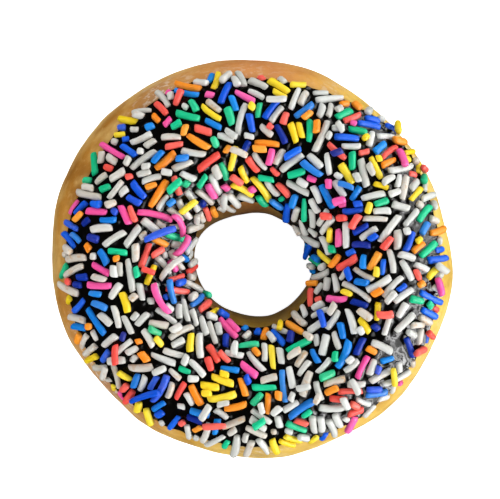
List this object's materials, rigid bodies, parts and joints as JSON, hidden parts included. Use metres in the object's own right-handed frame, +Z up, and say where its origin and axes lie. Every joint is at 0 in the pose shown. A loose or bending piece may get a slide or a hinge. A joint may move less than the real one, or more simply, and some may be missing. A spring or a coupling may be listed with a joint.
{
  "type": "sprinkle frosted doughnut",
  "caption": "Yeast-raised ring doughnut with a dark chocolate frosting dipped over its crown, covered in mixed sugar sprinkles.",
  "frame": {"origin": "centre of the ring's outline, on the surface it rests on", "axes": "+Z up through the frosted crown, with the ring's axis along Z"},
  "size_m": [0.0942, 0.0939, 0.0361],
  "materials": {
    "fried_dough": "satin",
    "chocolate_frosting": "gloss",
    "white_sprinkle": "satin",
    "light_blue_sprinkle": "satin",
    "blue_sprinkle": "satin",
    "dark_blue_sprinkle": "satin",
    "coral_sprinkle": "satin",
    "yellow_sprinkle": "satin",
    "orange_sprinkle": "satin",
    "pink_sprinkle": "satin",
    "green_sprinkle": "satin"
  },
  "bodies": {
    "root": {"dough": "fried_dough", "frosting": "chocolate_frosting"}
  },
  "joints": []
}
